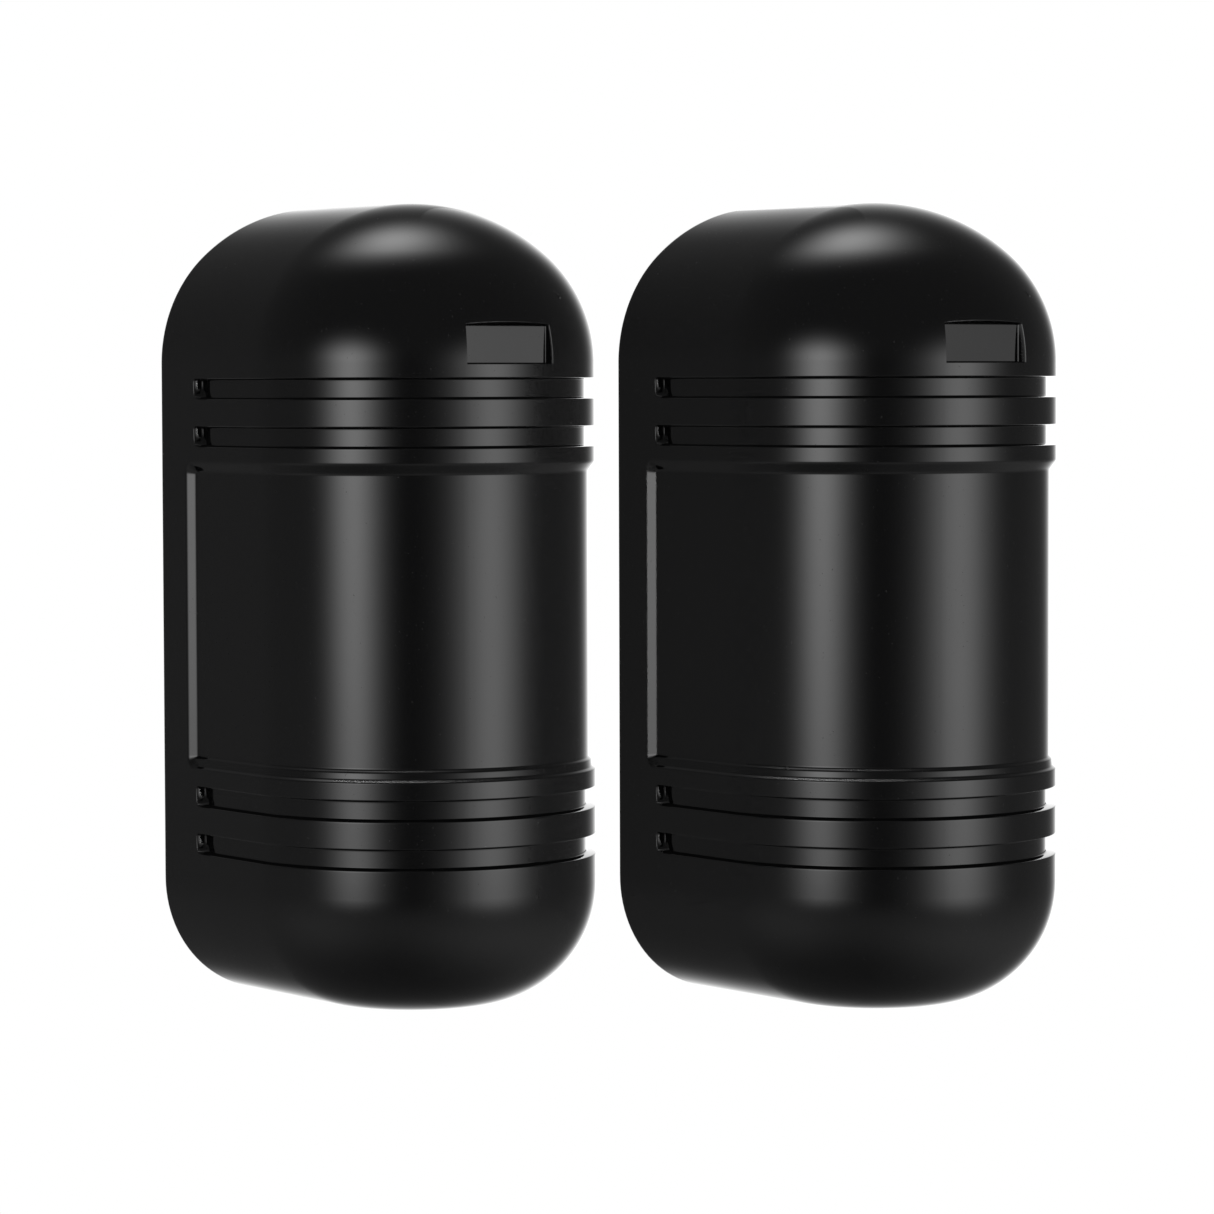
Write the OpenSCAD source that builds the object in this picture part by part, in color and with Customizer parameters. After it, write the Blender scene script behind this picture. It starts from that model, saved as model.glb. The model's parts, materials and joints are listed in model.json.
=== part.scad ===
// A pair of dual-beam photoelectric detectors: a transmitter and a receiver.
// Each is a sealed cover over a wall base that carries a two-lens optical
// module on a pan yoke with a tilt pivot. Millimetres. The wall is at +Y,
// the covers face -Y, Z is up, and Z = 0 is the middle of the height.

/* [Overall] */
// height of one cover
height = 171; // [140:1:210]
// width of one cover
width = 78; // [76:1:100]
// depth from the wall to the front of the cover
depth = 80; // [78:1:110]
// centre distance of the two units across the front
pair_x = 80.5; // [80.5:0.5:200]
// how far the receiver stands in front of the transmitter
pair_y = 57; // [0:1:80]

/* [Cover shape] */
// height of the top dome
top_rise = 34; // [28:0.5:40]
// radius of the bottom corners
bottom_r = 26; // [20:0.5:32]
// cover wall
cover_wall = 2.4; // [1.8:0.1:3]
// thicker wall behind the grooves
band_wall = 4.4; // [4:0.1:5]
// groove height
groove_h = 4.1; // [2:0.1:5]
// groove depth
groove_d = 2.1; // [0.5:0.1:2.3]
// first groove below the top
groove_top = 37.3; // [30:0.1:45]
// pitch of the two grooves in a group
groove_pitch = 10.15; // [8:0.05:12]
// first groove of the lower group above the bottom
groove_low = 32.2; // [28:0.1:45]
// groove ends this far in front of the cover rim
groove_end = 14; // [8:0.5:20]
// window depth
window_d = 1.5; // [0.5:0.1:2]
// window starts below the top
window_top = 55; // [50:0.5:60]
// window starts above the bottom
window_low = 50.4; // [40:0.5:60]
// width of the sloped edge of the window
window_slope = 2; // [1:0.1:4]
// window ends this far in front of the cover rim
window_end = 10.3; // [8:0.1:20]
// label recess width
label_w = 21; // [10:0.5:30]
// label recess height
label_h = 9; // [5:0.5:12]
// label recess below the top
label_top = 25.2; // [20:0.1:30]
// label recess depth from the front of the cover
label_d = 3.4; // [1:0.1:3.6]
// height of the sloped top edge of the label recess
label_slope = 1.2; // [0.5:0.1:2]
// gap between the cover rim and the wall
rim_gap = 1.5; // [0.5:0.1:2]

/* [Base] */
// floor thickness of the base
floor_t = 3; // [2:0.1:4]
// upstand height from the wall
upstand_y = 14; // [10:0.5:18]
// upstand thickness
upstand_t = 2; // [1.6:0.1:3]
// clearance between upstand and cover
upstand_gap = 0.5; // [0.3:0.05:1]
// wall plate thickness
plate_t = 2; // [1.5:0.1:3]
// wall plate width
plate_w = 50; // [44:1:56]
// wall plate height
plate_h = 130; // [120:1:150]
// pitch of the wall screw holes
wall_pitch = 83.5; // [70:0.5:90]
// wall screw hole diameter
wall_hole = 4.4; // [3:0.1:6]
// cable bore diameter
cable_bore = 8; // [5:0.5:10]
// pivot arm thickness
arm_t = 4.5; // [3:0.1:6]

/* [Optical module] */
// lens centres above and below the middle
lens_z = 24; // [20:0.5:26]
// outer radius of a lens barrel
barrel_r = 15.5; // [14:0.1:16]
// lens diameter
lens_d = 27; // [20:0.5:28]
// module depth in front of the pan axis
module_front = 24; // [18:0.5:25]
// module depth behind the pan axis
module_back = 4; // [2:0.5:6]
// pan pivot diameter
pan_pin = 6; // [4:0.1:8]
// tilt pivot diameter
tilt_pin = 5; // [3:0.1:6]
// diametral clearance of the pivots
pivot_clear = 0.1; // [0.05:0.05:0.4]
// side gap between the module and the yoke ears
ear_gap = 0.6; // [0.3:0.1:1]
// sheet thickness of the yoke
yoke_t = 2.5; // [2:0.1:3]
// distance of the tilt screw in front of the tilt pivot
tilt_arm = 15; // [13:0.5:16]

/* [Electronics] */
// circuit board thickness
board_t = 1.6; // [0.8:0.1:2]
// front of the main board from the wall
board_y = 13.6; // [12:0.1:16]
// terminal pitch
terminal_pitch = 7.62; // [5:0.01:8]
// number of terminals
terminals = 6; // [4:1:6]

/* [Hidden] */
$fn = 96;
R = width / 2;
zt = height / 2;
zb = -height / 2;
axis_y = -(depth - R);
rim = -rim_gap;
straight = rim - axis_y;
top_r = top_rise - 3;
top_s = R - top_r;
crown_r = (top_s * top_s + top_rise * top_rise - top_r * top_r) / (2 * (top_rise - top_r));
band_r = R - band_wall;
window_in = R - window_d - cover_wall + 0.1;
groove_z = [zt - groove_top - groove_h, zt - groove_top - groove_pitch - groove_h,
            zb + groove_low, zb + groove_low + groove_pitch];
win_hi = zt - window_top;
win_lo = zb + window_low;
base_in = cover_wall + upstand_gap;
seat_y = -(upstand_y + 0.5);
floor_y = -(plate_t + floor_t);
seal_y = [floor_y - 3.4, floor_y - 1];
board_back = -(board_y - board_t);
board_front = -board_y;
sight_half = lens_z - barrel_r - 2;
peep_z = sight_half - 3.2;
arm_z = lens_z + barrel_r + 10;
yoke_z = arm_z - 0.6;
ear_x = barrel_r + ear_gap;
pan_bore = pan_pin + pivot_clear;
tilt_bore = tilt_pin + pivot_clear;
pad_z = -(lens_z + barrel_r + 1.5);
nut_z = -(arm_z + 3.5);
rod_r = 2;
rod_bore = 2.1;
fork_z = zb + 6.3;
fork_t = 2;
screw_y = axis_y + 11;
tamper = [14, zt - 21.5];
switch_z = zt - 22.5;
led_z = zt - 15.5;
pot = [-20, zt - 25.5];
term_z = zb + 14;
term_h = 11;
term_d = 12;
grommet_z = -22;
post_xz = [[24, 34], [-24, 34], [24, -24], [-24, -24]];
plate_screw_xz = [[16, 56], [-16, 56], [16, -56], [-16, -56]];
slider_x = -0.75;

gloss_black = [0.05, 0.05, 0.055];
rubber = [0.1, 0.1, 0.1];
steel = [0.72, 0.73, 0.75];
base_grey = [0.2, 0.2, 0.21];
yoke_white = [0.82, 0.82, 0.8];
housing_black = [0.09, 0.09, 0.1];
lens_tint = [0.25, 0.1, 0.12, 0.7];
mirror = [0.85, 0.88, 0.9];
brass = [0.78, 0.62, 0.3];
pcb_green = [0.05, 0.32, 0.18];
led_clear = [0.7, 0.75, 0.85];
led_red = [0.75, 0.1, 0.08];
switch_blue = [0.1, 0.25, 0.6];
terminal_white = [0.88, 0.88, 0.84];
chip_black = [0.07, 0.07, 0.07];

// ---- helpers ----------------------------------------------------------

// 2D shape in X and Z, carried along Y from y0 to y1 (y0 < y1)
module along_y(y0, y1) translate([0, y1, 0]) rotate([90, 0, 0]) linear_extrude(y1 - y0) children();

// round bar along Y
module bar_y(x, z, y0, y1, r) along_y(y0, y1) translate([x, z]) circle(r = r);

// box by its limits
module box(x, y, z) translate([x[0], y[0], z[0]]) cube([x[1] - x[0], y[1] - y[0], z[1] - z[0]]);

// 2D rectangle with round corners, centred
module round_rect(w, h, r) {
    square([w - 2 * r, h], center = true);
    square([w, h - 2 * r], center = true);
    for (x = [-1, 1], y = [-1, 1]) translate([x * (w / 2 - r), y * (h / 2 - r)]) circle(r = r);
}

// outline of the unit seen from the front, shrunk by i all round
module outline(i) {
    zc = zt - crown_r;
    kx = top_s / (crown_r - top_r);
    kz = (crown_r - top_rise) / (crown_r - top_r);
    for (s = [-1, 1]) {
        translate([s * top_s, zt - top_rise]) circle(r = top_r - i, $fn = 180);
        translate([s * (R - bottom_r), zb + bottom_r]) circle(r = bottom_r - i, $fn = 180);
    }
    intersection() {
        translate([0, zc]) circle(r = crown_r - i, $fn = 240);
        polygon([[0, zc], [kx * 90, zc + kz * 90], [-kx * 90, zc + kz * 90]]);
    }
    translate([-(R - i), zb + bottom_r]) square([2 * (R - i), height - bottom_r - top_rise]);
    translate([-(R - bottom_r), zb + i]) square([2 * (R - bottom_r), bottom_r]);
}

// right-hand half of a 2D outline, for turning about Z
module half() intersection() {
    children();
    translate([0, -height]) square([2 * R, 2 * height]);
}

// the front half of a shape turned about the pan axis
module turned() translate([0, axis_y, 0]) rotate([0, 0, 180]) rotate_extrude(angle = 180, $fn = 180)
    half() children();

// the whole solid of the unit, shrunk by i, from the front to y1
module solid_unit(i, y1) {
    turned() outline(i);
    along_y(axis_y, y1) outline(i);
}

// 2D notches that the grooves and the window make in the side of the outline
module notches() {
    for (z = groove_z) translate([R - groove_d, z]) square([groove_d + 3, groove_h]);
    window_section();
}

module window_section() {
    k = 3 * window_slope / window_d;
    polygon([[R - window_d, win_lo + window_slope], [R - window_d, win_hi - window_slope],
             [R + 3, win_hi + k], [R + 3, win_lo - k]]);
}

// the same grooves and window, where they run along the flat side
module side_cuts() {
    r = groove_h / 2;
    ge = rim - groove_end;
    for (z = groove_z)
        translate([R - groove_d, 0, 0]) rotate([90, 0, 90]) linear_extrude(5) {
            translate([axis_y - 1, z]) square([ge - r - axis_y + 1, groove_h]);
            translate([ge - r, z + r]) circle(r = r, $fn = 48);
            translate([ge - r, z + r]) square([r, r]);
        }
    we = rim - window_end;
    k = 3 * window_slope / window_d;
    intersection() {
        along_y(axis_y - 1, rim) window_section();
        translate([0, 0, zb]) linear_extrude(height)
            polygon([[R - window_d, axis_y - 1], [R - window_d, we - window_slope],
                     [R + 3, we + k], [R + 3, axis_y - 1]]);
    }
}

// 2D inside of the cover: thin at the ends, thicker behind the grooves
module cavity_outline() {
    intersection() {
        outline(cover_wall);
        union() {
            square([2 * band_r, 2 * height], center = true);
            translate([-window_in, win_lo + 3.5])
                square([2 * window_in, win_hi - win_lo - 7]);
        }
    }
}

// ---- cover ------------------------------------------------------------

// flat-floored recess of the blank name plate, with a sloped top edge
module label_recess() {
    y = axis_y - R;
    z = zt - label_top;
    k = label_slope / label_d;
    translate([-label_w / 2, 0, 0]) rotate([90, 0, 90]) linear_extrude(label_w)
        polygon([[y - 5, z - label_h], [y + label_d, z - label_h],
                 [y + label_d, z - label_slope], [y - 5, z + 5 * k]]);
}

module unit_cover() {
    difference() {
        union() {
            turned() difference() { outline(0); notches(); }
            difference() {
                along_y(axis_y, rim) outline(0);
                side_cuts();
                mirror([1, 0, 0]) side_cuts();
            }
        }
        union() {
            turned() cavity_outline();
            along_y(axis_y, seat_y) cavity_outline();
            along_y(seat_y, rim + 1) outline(cover_wall);
        }
        label_recess();
        translate([0, screw_y, zb - 1]) cylinder(r = 3.8, h = 4, $fn = 48);
        translate([0, screw_y, zb - 1]) cylinder(r = 2.25, h = 8, $fn = 48);
    }
    // boss round the screw
    translate([0, screw_y, 0]) difference() {
        translate([0, 0, zb + 1]) cylinder(r = 6, h = 4.4, $fn = 48);
        translate([0, 0, zb - 1]) cylinder(r = 3.8, h = 4, $fn = 48);
        translate([0, 0, zb - 1]) cylinder(r = 2.25, h = 8, $fn = 48);
    }
    // hook tab that enters the base at the top
    intersection() {
        along_y(axis_y + 14, -8) outline(base_in + upstand_t + 0.4);
        box([-8, 8], [-depth, 0], [zt - base_in - upstand_t - 2.4, zt]);
    }
    intersection() {
        box([-8, 8], [axis_y + 14, -(upstand_y + 1.5)], [zt - base_in - upstand_t - 2.4, zt]);
        solid_unit(1, rim);
    }
    // post that holds the tamper plunger in
    intersection() {
        bar_y(tamper[0], tamper[1], -depth, board_front - 11.3, 2.5);
        solid_unit(1, rim);
    }
}

module unit_cover_screw() {
    translate([0, screw_y, 0]) {
        difference() {
            translate([0, 0, zb + 0.3]) cylinder(r = 3.5, h = 2.7, $fn = 48);
            translate([0, 0, zb - 0.5]) {
                translate([-0.5, -4, 0]) cube([1, 8, 1.8]);
                translate([-2.2, -0.5, 0]) cube([4.4, 1, 2]);
            }
        }
        translate([0, 0, zb + 2.9]) cylinder(r = 2, h = 10.1, $fn = 48);
        difference() {
            translate([0, 0, fork_z + fork_t + 0.15]) cylinder(r = 4, h = 3.2, $fn = 6);
            translate([0, 0, fork_z]) cylinder(r = 1.9, h = 10, $fn = 48);
        }
    }
}

module unit_cover_seal() {
    along_y(seal_y[0], seal_y[1]) difference() {
        outline(cover_wall + 0.15);
        outline(base_in + 1);
    }
}

// ---- base -------------------------------------------------------------

module unit_base() {
    difference() {
        union() {
            along_y(floor_y, -plate_t) outline(base_in);
            along_y(-upstand_y, -plate_t) difference() {
                outline(base_in);
                outline(base_in + upstand_t);
            }
            // board posts
            for (p = post_xz) bar_y(p[0], p[1], board_back, floor_y + 0.5, 3.2);
            // guides beside the hook tab
            for (s = [-1, 1])
                box([s * 9.4 - 0.75, s * 9.4 + 0.75], [-upstand_y, floor_y + 0.5],
                    [zt - base_in - upstand_t - 4, zt - base_in - upstand_t]);
            // fork lug for the cover screw
            box([-6, 6], [screw_y - 6, floor_y + 0.5], [fork_z, fork_z + fork_t]);
            for (s = [-1, 1])
                box([s * 5 - 1, s * 5 + 1], [floor_y - 14, floor_y + 0.5],
                    [fork_z + fork_t - 0.5, fork_z + fork_t + 1]);
            // pivot arms
            for (s = [-1, 1]) translate([0, 0, s > 0 ? arm_z : -arm_z - arm_t]) {
                translate([0, axis_y, 0]) cylinder(r = 7, h = arm_t);
                translate([-7, axis_y, 0]) cube([14, floor_y + 0.5 - axis_y, arm_t]);
            }
        }
        // seal groove
        along_y(seal_y[0], seal_y[1]) difference() {
            outline(base_in - 2);
            outline(base_in + 1);
        }
        // pan bores
        translate([0, axis_y, arm_z - 1]) cylinder(d = pan_bore, h = arm_t + 2);
        translate([0, axis_y, -arm_z - arm_t - 1]) cylinder(d = pan_bore, h = arm_t + 2);
        // screw slot of the fork, open to the front
        translate([0, screw_y, fork_z - 1]) cylinder(r = 2.2, h = fork_t + 3, $fn = 48);
        box([-2.2, 2.2], [screw_y - 7, screw_y], [fork_z - 1, fork_z + fork_t + 2]);
        // access holes over the wall screws, screw holes, cable hole
        for (s = [-1, 1]) bar_y(0, s * wall_pitch / 2, floor_y - 1, 0, 5);
        for (p = plate_screw_xz) bar_y(p[0], p[1], floor_y - 1, 0, 1.8);
        for (p = post_xz) bar_y(p[0], p[1], board_back - 1, floor_y + 1, 1.5);
        bar_y(0, grommet_z, floor_y - 1, 0, cable_bore / 2 + 2);
    }
}

module unit_wall_plate() {
    difference() {
        along_y(-plate_t, 0) round_rect(plate_w, plate_h, 6);
        for (s = [-1, 1]) bar_y(0, s * wall_pitch / 2, -plate_t - 1, 1, wall_hole / 2);
        for (s = [-1, 1]) for (z = [-1, 1])
            along_y(-plate_t - 1, 1) translate([s * 17, z * 22]) {
                translate([-2.2, -5]) square([4.4, 10]);
                translate([0, 5]) circle(r = 2.2);
                translate([0, -5]) circle(r = 2.2);
            }
        for (p = plate_screw_xz) bar_y(p[0], p[1], -plate_t - 1, 1, 1.5);
        bar_y(0, grommet_z, -plate_t - 1, 1, cable_bore / 2 + 2);
    }
}

module unit_plate_screws() {
    for (p = plate_screw_xz) difference() {
        union() {
            bar_y(p[0], p[1], floor_y - 2.2, floor_y, 3);
            bar_y(p[0], p[1], floor_y - 0.1, -0.2, 1.5);
        }
        cross_slot(p[0], p[1], floor_y - 2.2, 3.6, 0.9, 1.2);
    }
}

// cross recess in a screw head that faces -Y
module cross_slot(x, z, y, l, w, d) {
    box([x - l / 2, x + l / 2], [y - 1, y + d], [z - w / 2, z + w / 2]);
    box([x - w / 2, x + w / 2], [y - 1, y + d], [z - l / 2, z + l / 2]);
}

module unit_cable_grommet() {
    r = cable_bore / 2;
    translate([0, 0, grommet_z]) rotate([90, 0, 0]) rotate_extrude()
        polygon([[r, 0], [r + 2, 0], [r + 2, -floor_y], [r + 4, -floor_y],
                 [r + 3.6, -floor_y + 1.4], [r, -floor_y + 1.4]]);
}

// ---- pan yoke ---------------------------------------------------------

module unit_yoke() {
    y = axis_y;
    difference() {
        union() {
            // back plate with the cross bar of the ears
            box([-10, 10], [y + 13, y + 13 + yoke_t - 0.5], [-yoke_z, yoke_z]);
            box([-ear_x - yoke_t, ear_x + yoke_t], [y + 13, y + 13 + yoke_t - 0.5], [-6, 6]);
            for (s = [-1, 1]) {
                // ears
                translate([s > 0 ? ear_x : -ear_x - yoke_t, 0, 0]) {
                    box([0, yoke_t], [y, y + 13.5], [-6, 6]);
                    translate([0, y, 0]) rotate([0, 90, 0]) cylinder(r = 6, h = yoke_t);
                }
                // arms and pivot stubs
                translate([0, 0, s > 0 ? yoke_z - yoke_t : -yoke_z]) {
                    translate([0, y, 0]) cylinder(r = 7, h = yoke_t);
                    box([-7, 7], [y, y + 14], [0, yoke_t]);
                }
                translate([0, y, s > 0 ? yoke_z - 0.5 : -arm_z - arm_t])
                    cylinder(d = pan_pin, h = arm_t + 1.1);
            }
            // bracket of the tilt wheel
            box([-6, 6], [y - 23, y], [-yoke_z, -yoke_z + yoke_t]);
            box([-6, 6], [y - 23, y - 21], [nut_z - 3, -yoke_z + yoke_t]);
            box([-6, 6], [y - 23, y - 10], [nut_z - 3, nut_z - 0.5]);
        }
        for (s = [-1, 1]) translate([s > 0 ? ear_x - 1 : -ear_x - yoke_t - 1, y, 0])
            rotate([0, 90, 0]) cylinder(d = tilt_bore, h = yoke_t + 2);
        translate([0, y - tilt_arm, nut_z - 6]) cylinder(r = rod_bore, h = 20);
        // opening that lets the board wires through
        box([-6, 6], [y + 12, y + 16], [12, 30]);
        box([-6, 6], [y + 12, y + 16], [-30, -12]);
    }
}

module unit_tilt_wheel() {
    translate([0, axis_y - tilt_arm, nut_z]) difference() {
        cylinder(r = 5.5, h = 3.8, $fn = 60);
        for (a = [0 : 30 : 330]) rotate([0, 0, a]) translate([5.9, 0, -1]) cylinder(r = 0.8, h = 6, $fn = 16);
        translate([0, 0, -1]) cylinder(r = rod_bore, h = 6);
    }
}

module unit_tilt_rod() {
    translate([0, axis_y - tilt_arm, nut_z - 4]) {
        cylinder(r = rod_r, h = pad_z - 0.7 - 1 - nut_z + 4);
        translate([0, 0, pad_z - 0.7 - 1 - nut_z + 4 - 0.01]) cylinder(r1 = rod_r, r2 = 1, h = 1.01);
    }
}

// ---- optical module ---------------------------------------------------

module unit_lens_housing() {
    y = axis_y;
    difference() {
        union() {
            along_y(y - module_front, y + module_back) {
                for (s = [-1, 1]) translate([0, s * lens_z]) circle(r = barrel_r);
                square([2 * barrel_r, 2 * lens_z], center = true);
            }
            box([-4, 4], [y - tilt_arm - 3, y - tilt_arm + 3], [pad_z, pad_z + 4]);
        }
        for (s = [-1, 1]) {
            bar_y(0, s * lens_z, y - module_front - 1, y - module_front + 2, lens_d / 2 + 0.1);
            bar_y(0, s * lens_z, y - module_front, y + 1, lens_d / 2 - 1);
            bar_y(0, s * lens_z, y, y + module_back + 1, 2.6);
            translate([s > 0 ? barrel_r - 3.5 : -barrel_r - 1, y, 0])
                rotate([0, 90, 0]) cylinder(d = tilt_pin, h = 4.5);
        }
        // pocket of the sight
        box([-11, 11], [y - module_front - 1, y - 5], [-sight_half, sight_half]);
        // sight windows through both sides
        for (s = [-1, 1])
            box(s > 0 ? [10, barrel_r + 1] : [-barrel_r - 1, -10], [y - 20, y - 10],
                [2.5 - sight_half, sight_half - 2.5]);
    }
}

// one lens: a flat front and a bulged back
module lens(z) {
    r = lens_d / 2;
    b = 3;
    c = (r - 1.2) * (r - 1.2) / (2 * b) + b / 2;
    translate([0, axis_y - module_front, z]) rotate([-90, 0, 0]) {
        cylinder(r = r, h = 2);
        rotate_extrude() intersection() {
            translate([0, 2 + b - c]) circle(r = c, $fn = 240);
            translate([0, 1.5]) square([r - 1.2, b + 1]);
        }
    }
}

module unit_upper_lens() lens(lens_z);
module unit_lower_lens() lens(-lens_z);

module unit_lens_rings() {
    for (s = [-1, 1]) along_y(axis_y - module_front - 1, axis_y - module_front)
        translate([0, s * lens_z]) difference() {
            circle(r = barrel_r - 0.5);
            circle(r = lens_d / 2 - 0.9);
        }
}

module unit_sight_block() {
    y = axis_y;
    difference() {
        box([-10.8, 10.8], [y - module_front - 0.8, y - 5], [0.2 - sight_half, sight_half - 0.2]);
        // two front peep holes and a side window each
        for (s = [-1, 1]) {
            for (z = [-1, 1]) bar_y(s * 5, z * peep_z, y - module_front - 2, y - 14, 1.4);
            box(s > 0 ? [2, 12] : [-12, -2], [y - 20, y - 10], [2 - sight_half, sight_half - 2]);
        }
    }
}

module unit_sight_mirrors() {
    y = axis_y;
    for (s = [-1, 1]) translate([s * 2, y - 20, 0]) mirror([s > 0 ? 0 : 1, 0, 0])
        translate([0, 0, 2 - sight_half]) linear_extrude(2 * sight_half - 4)
            polygon([[0, 9.9], [0, 8.7], [8.4, 0.3], [8.8, 0.9]]);
}

module unit_tilt_pins() {
    for (s = [-1, 1]) translate([s > 0 ? barrel_r - 3.5 : -ear_x - yoke_t - 1, axis_y, 0])
        rotate([0, 90, 0]) {
            cylinder(d = tilt_pin, h = ear_x + yoke_t + 1 - barrel_r + 3.5);
        }
}

module unit_beam_board() {
    y = axis_y + module_back;
    difference() {
        along_y(y, y + board_t) round_rect(28, 2 * lens_z + 18, 2);
        for (s = [-1, 1]) bar_y(0, s * 12, y - 1, y + 3, 1.6);
    }
}

module unit_beam_diodes() {
    y = axis_y + module_back;
    for (s = [-1, 1]) {
        bar_y(0, s * lens_z, y - 4.5, y, 2.5);
        translate([0, y - 4.5, s * lens_z]) rotate([90, 0, 0]) rotate_extrude() intersection() {
            circle(r = 2.5);
            square(3);
        }
    }
}

// ---- electronics ------------------------------------------------------

module unit_main_board() {
    difference() {
        along_y(board_front, board_back) intersection() {
            outline(8);
            translate([-R, zb + 9.5]) square([2 * R, height - 21]);
        }
        box([-8, 8], [board_front - 1, board_back + 1], [arm_z - 2.5, arm_z + arm_t + 2.5]);
        box([-8, 8], [board_front - 1, board_back + 1], [-arm_z - arm_t - 6, -arm_z + 2.5]);
        for (p = post_xz) bar_y(p[0], p[1], board_front - 1, board_back + 1, 1.7);
    }
}

module unit_board_screws() {
    for (p = post_xz) difference() {
        union() {
            bar_y(p[0], p[1], board_front - 2, board_front, 2.8);
            bar_y(p[0], p[1], board_front - 0.1, floor_y - 1.5, 1.5);
        }
        cross_slot(p[0], p[1], board_front - 2, 3.4, 0.8, 1.1);
    }
}

module unit_terminal_block() {
    w = terminals * terminal_pitch;
    difference() {
        box([-w / 2 - 0.3, w / 2 + 0.3], [board_front - term_d, board_front], [term_z, term_z + term_h]);
        for (i = [0 : terminals - 1]) {
            x = (i - (terminals - 1) / 2) * terminal_pitch;
            bar_y(x, term_z + 6.5, board_front - term_d - 1, board_front - 4, 2.6);
            box([x - 2.4, x + 2.4], [board_front - 7, board_front - 2.5], [term_z - 1, term_z + 5]);
        }
    }
}

module unit_terminal_screws() {
    for (i = [0 : terminals - 1]) {
        x = (i - (terminals - 1) / 2) * terminal_pitch;
        difference() {
            bar_y(x, term_z + 6.5, board_front - term_d + 1, board_front - 4, 2.5);
            box([x - 3, x + 3], [board_front - term_d, board_front - term_d + 2.2],
                [term_z + 6.1, term_z + 6.9]);
        }
    }
}

module unit_tamper_switch() {
    difference() {
        box([tamper[0] - 6, tamper[0] + 6], [board_front - 8, board_front],
            [tamper[1] - 3, tamper[1] + 3]);
        bar_y(tamper[0], tamper[1], board_front - 9, board_front - 4, 1.6);
    }
}

module unit_tamper_plunger() {
    bar_y(tamper[0], tamper[1], board_front - 11, board_front - 6, 1.5);
}

module unit_channel_switch() {
    difference() {
        box([-6.5, 6.5], [board_front - 4, board_front], [switch_z - 3, switch_z + 3]);
        box([-3.6, 3.6], [board_front - 5, board_front - 2], [switch_z - 0.9, switch_z + 0.9]);
    }
}

module unit_channel_slider() {
    box([slider_x - 1, slider_x + 1], [board_front - 6, board_front - 2.5],
        [switch_z - 0.8, switch_z + 0.8]);
}

module unit_indicator_leds() {
    for (x = [-14, -8]) {
        bar_y(x, led_z, board_front - 4, board_front, 1.5);
        bar_y(x, led_z, board_front - 1, board_front, 1.9);
        translate([x, board_front - 4, led_z]) rotate([90, 0, 0]) rotate_extrude() intersection() {
            circle(r = 1.5);
            square(2);
        }
    }
}

module unit_board_chips() {
    box([-5, 5], [board_front - 1.6, board_front], [27, 34]);
    box([-4, 4], [board_front - 1.4, board_front], [4, 12]);
    box([10, 16], [board_front - 1.8, board_front], [18, 22]);
    box([-25, -17.5], [board_front - 9, board_front], [-50, -35]);
    bar_y(22.5, -43, board_front - 9, board_front, 4);
    bar_y(24, -12, board_front - 2, board_front, 2);
    box([-22, -19], [board_front - 1.2, board_front], [10, 16]);
}

module unit_response_pot() {
    difference() {
        box([pot[0] - 3.5, pot[0] + 3.5], [board_front - 4, board_front], [pot[1] - 3.5, pot[1] + 3.5]);
        bar_y(pot[0], pot[1], board_front - 5, board_front - 2.5, 2.7);
    }
}

module unit_response_rotor() {
    difference() {
        bar_y(pot[0], pot[1], board_front - 4.6, board_front - 2.5, 2.6);
        box([pot[0] - 0.4, pot[0] + 0.4], [board_front - 5, board_front - 3.6], [pot[1] - 2.2, pot[1] + 2.2]);
        box([pot[0] - 0.9, pot[0] + 0.9], [board_front - 5, board_front - 3.6], [pot[1] + 1.2, pot[1] + 2.2]);
    }
}

// the receiver stands beside and in front of the transmitter
module beside() translate([pair_x, -pair_y, 0]) children();

// ---- transmitter ------------------------------------------------------

module transmitter_cover() color(gloss_black) unit_cover();
module transmitter_cover_seal() color(rubber) unit_cover_seal();
module transmitter_cover_screw() color(steel) unit_cover_screw();
module transmitter_base() color(base_grey) unit_base();
module transmitter_wall_plate() color(steel) unit_wall_plate();
module transmitter_plate_screws() color(steel) unit_plate_screws();
module transmitter_cable_grommet() color(rubber) unit_cable_grommet();
module transmitter_yoke() color(yoke_white) unit_yoke();
module transmitter_lens_housing() color(housing_black) unit_lens_housing();
module transmitter_upper_lens() color(lens_tint) unit_upper_lens();
module transmitter_lower_lens() color(lens_tint) unit_lower_lens();
module transmitter_lens_rings() color(housing_black) unit_lens_rings();
module transmitter_sight_block() color(housing_black) unit_sight_block();
module transmitter_sight_mirrors() color(mirror) unit_sight_mirrors();
module transmitter_tilt_pins() color(steel) unit_tilt_pins();
module transmitter_tilt_wheel() color(brass) unit_tilt_wheel();
module transmitter_tilt_rod() color(steel) unit_tilt_rod();
module transmitter_beam_board() color(pcb_green) unit_beam_board();
module transmitter_beam_diodes() color(led_clear) unit_beam_diodes();
module transmitter_main_board() color(pcb_green) unit_main_board();
module transmitter_board_screws() color(steel) unit_board_screws();
module transmitter_terminal_block() color(terminal_white) unit_terminal_block();
module transmitter_terminal_screws() color(steel) unit_terminal_screws();
module transmitter_tamper_switch() color(chip_black) unit_tamper_switch();
module transmitter_tamper_plunger() color(terminal_white) unit_tamper_plunger();
module transmitter_channel_switch() color(switch_blue) unit_channel_switch();
module transmitter_channel_slider() color(terminal_white) unit_channel_slider();
module transmitter_indicator_leds() color(led_red) unit_indicator_leds();
module transmitter_board_chips() color(chip_black) unit_board_chips();

// ---- receiver ---------------------------------------------------------

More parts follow.
